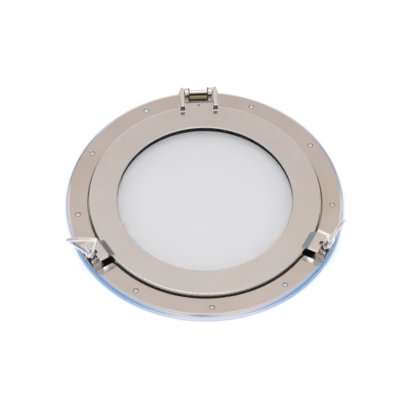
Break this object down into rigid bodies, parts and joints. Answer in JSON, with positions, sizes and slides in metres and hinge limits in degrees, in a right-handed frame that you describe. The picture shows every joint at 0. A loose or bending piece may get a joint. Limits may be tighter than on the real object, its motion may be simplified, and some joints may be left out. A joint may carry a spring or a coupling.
{
  "type": "opening porthole",
  "caption": "Round opening porthole: hollow-backed flange ring, hinged glazed door ring held by a pinned bracket, and swing-bolt dogs with open-loop wing nuts.",
  "frame": {"origin": "centre of the flange ring's back plane", "axes": "+Z out of the face, from the wall into the cabin; +Y towards the hinge; +X to the right when the face is seen with the hinge at the top"},
  "size_m": [0.4299, 0.43, 0.0834],
  "materials": {
    "plated_metal": "polished nickel plate",
    "plated_fittings": "bright nickel plate",
    "clear_glass": "polished",
    "black_rubber": "matt"
  },
  "bodies": {
    "frame": {"flange_ring": "plated_metal", "flange_screws": "plated_fittings", "hinge_bracket": "plated_metal", "hinge_bracket_screws": "plated_fittings", "hinge_pin": "plated_fittings", "door_seal": "black_rubber", "dog_bracket_left": "plated_metal", "dog_bracket_right": "plated_metal", "dog_bracket_screws": "plated_fittings", "dog_pin_left": "plated_fittings", "dog_pin_right": "plated_fittings"},
    "door": {"door_ring": "plated_metal", "door_lug_left": "plated_metal", "door_lug_right": "plated_metal", "hinge_arm_left": "plated_metal", "hinge_arm_right": "plated_metal", "hinge_arm_screws": "plated_fittings", "tab_screw": "plated_fittings", "glass_pane": "clear_glass", "glazing_seal": "black_rubber", "glass_retainer": "plated_metal", "retainer_screws": "plated_fittings"},
    "dog_left": {"swing_bolt_left": "plated_fittings"},
    "washer_left": {"dog_washer_left": "plated_fittings"},
    "nut_left": {"wing_nut_left": "plated_metal"},
    "dog_right": {"swing_bolt_right": "plated_fittings"},
    "washer_right": {"dog_washer_right": "plated_fittings"},
    "nut_right": {"wing_nut_right": "plated_metal"}
  },
  "joints": [
    {"name": "door_hinge", "type": "hinge", "parent": "frame", "child": "door", "pos_m": [0, 0.2, 0.026], "axis": [-1, 0, 0], "range_deg": [0, 110]},
    {"name": "dog_swing_left", "type": "hinge", "parent": "frame", "child": "dog_left", "pos_m": [-0.1739, -0.1004, 0.007], "axis": [0.5, -0.866, 0], "range_deg": [-20, 34]},
    {"name": "washer_slide_left", "type": "slide", "parent": "dog_left", "child": "washer_left", "axis": [-0.2387, -0.1378, 0.9613], "range_m": [0, 0.004]},
    {"name": "nut_turn_left", "type": "hinge", "parent": "washer_left", "child": "nut_left", "pos_m": [-0.17915, -0.10343, 0.02815], "axis": [-0.2387, -0.1378, 0.9613], "range_deg": [0, 1440]},
    {"name": "dog_swing_right", "type": "hinge", "parent": "frame", "child": "dog_right", "pos_m": [0.1739, -0.1004, 0.007], "axis": [0.5, 0.866, 0], "range_deg": [-20, 34]},
    {"name": "washer_slide_right", "type": "slide", "parent": "dog_right", "child": "washer_right", "axis": [0.2387, -0.1378, 0.9613], "range_m": [0, 0.004]},
    {"name": "nut_turn_right", "type": "hinge", "parent": "washer_right", "child": "nut_right", "pos_m": [0.17915, -0.10343, 0.02815], "axis": [0.2387, -0.1378, 0.9613], "range_deg": [0, 1440]}
  ],
  "couplings": [
    {"joint": "washer_slide_left", "follows": "nut_turn_left", "m_per_rad": 0.00015915},
    {"joint": "washer_slide_right", "follows": "nut_turn_right", "m_per_rad": 0.00015915}
  ]
}
